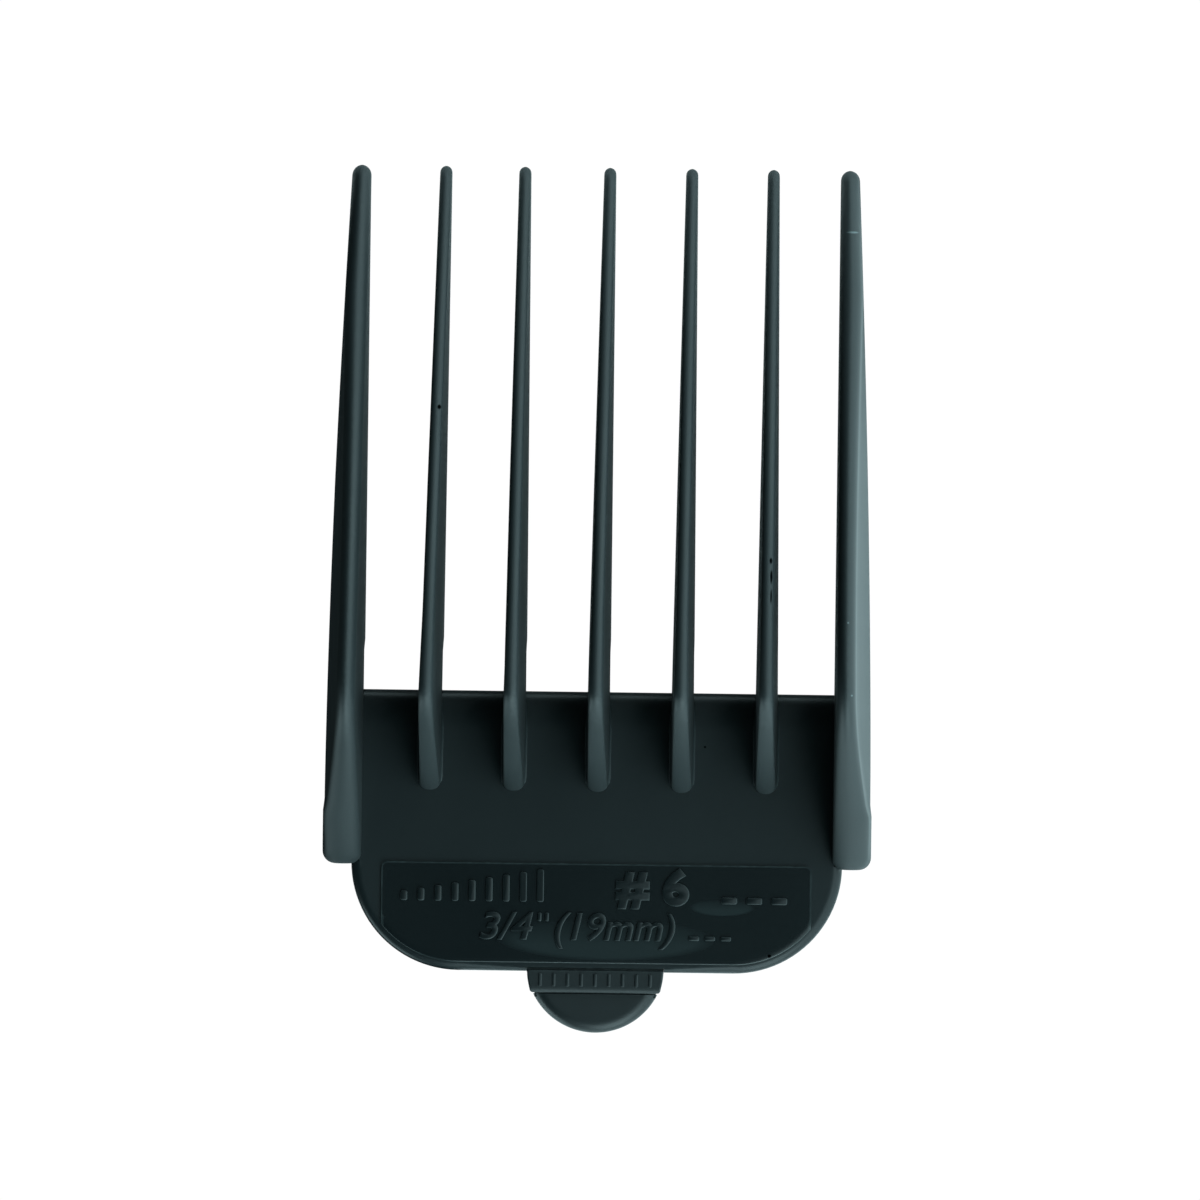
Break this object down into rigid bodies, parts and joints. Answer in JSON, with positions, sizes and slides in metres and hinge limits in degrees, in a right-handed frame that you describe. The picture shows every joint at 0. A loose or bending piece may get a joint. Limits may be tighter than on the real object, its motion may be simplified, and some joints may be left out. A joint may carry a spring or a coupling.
{
  "type": "clipper guard comb",
  "caption": "Hair clipper guard comb: tapering fins on a flat back plate, with toe hooks and a flexing latch that snap onto the clipper's blade.",
  "frame": {"origin": "under the middle of the comb, on the plane that the fins' blade edges lie on", "axes": "+X across the comb, +Y from the latch to the fin tips, +Z from the blade side to the skin side"},
  "size_m": [0.048, 0.0762, 0.0253],
  "materials": {
    "plate": "fine grain, semi-matte, worn shiny in patches",
    "fins": "fine grain, semi-matte, polished on the skin edges",
    "label": "smoother than the plate, with rubbed patches",
    "latch": "fine grain, semi-matte, rubbed edges"
  },
  "bodies": {
    "comb": {"base_plate": "plate", "front_lip": "plate", "left_rail": "fins", "right_rail": "fins", "tine_1": "fins", "tine_2": "fins", "tine_3": "fins", "tine_4": "fins", "tine_5": "fins", "toe_hooks": "fins", "blade_land": "plate", "label_panel": "label", "size_marks": "label"},
    "latch": {"hinge_bead": "latch", "latch_bridge": "latch", "grip_ridges": "latch", "latch_wall": "latch", "latch_barb": "latch", "thumb_tab": "latch", "latch_gussets": "latch"}
  },
  "joints": [
    {"name": "latch_flex", "type": "hinge", "parent": "comb", "child": "latch", "pos_m": [0, -0.0324, 0.0042], "axis": [-1, 0, 0], "range_deg": [0, 14], "stiffness_Nm_per_rad": 0.2}
  ]
}
